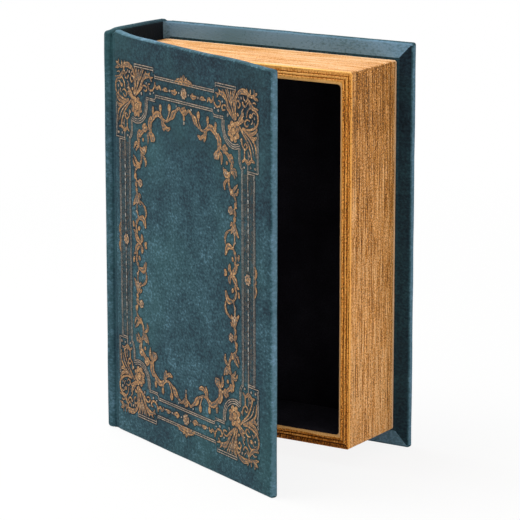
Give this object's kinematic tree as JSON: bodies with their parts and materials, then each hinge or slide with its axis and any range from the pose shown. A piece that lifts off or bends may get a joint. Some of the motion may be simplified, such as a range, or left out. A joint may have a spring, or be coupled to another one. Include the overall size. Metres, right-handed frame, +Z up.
{
  "type": "book box",
  "caption": "Keepsake box made like a clothbound book: a page-edged tray between velvet covers, with a cloth-hinged front cover that swings open.",
  "frame": {"origin": "middle of the footprint, on the surface that the tail edges of the covers and spine stand on, with the front cover ajar as stored", "axes": "+Z up from tail to head, +X from the spine to the fore edge, -Y out of the front cover's side"},
  "size_m": [0.1836, 0.137, 0.25],
  "materials": {
    "velvet": "matte",
    "liner_cloth": "matte",
    "board": "matte",
    "page_paper": "satin",
    "flock": "matte",
    "steel": "satin",
    "gilt_foil": "satin"
  },
  "bodies": {
    "case": {"spine_board": "board", "spine_cloth": "velvet", "spine_liner": "liner_cloth", "back_board": "board", "back_cloth": "velvet", "back_liner": "liner_cloth", "back_joint_cloth": "velvet", "tray_head_wall": "board", "tray_tail_wall": "board", "tray_fore_edge_wall": "board", "tray_spine_wall": "board", "tray_floor": "board", "head_pages": "page_paper", "tail_pages": "page_paper", "fore_edge_pages": "page_paper", "spine_rim_pages": "page_paper", "lining_head": "flock", "lining_tail": "flock", "lining_fore_edge": "flock", "lining_spine": "flock", "lining_floor": "flock", "tray_magnets": "steel", "front_joint_cloth": "velvet"},
    "front_cover": {"front_board": "board", "front_cloth": "velvet", "front_liner": "flock", "cover_discs": "steel", "gilt_frame": "gilt_foil"}
  },
  "joints": [
    {"name": "cover_hinge", "type": "hinge", "parent": "case", "child": "front_cover", "pos_m": [-0.08338, 0.00449, 0.125], "axis": [0, 0, -1], "range_deg": [-24.9, 155.1], "deforming": ["front_joint_cloth"]}
  ]
}
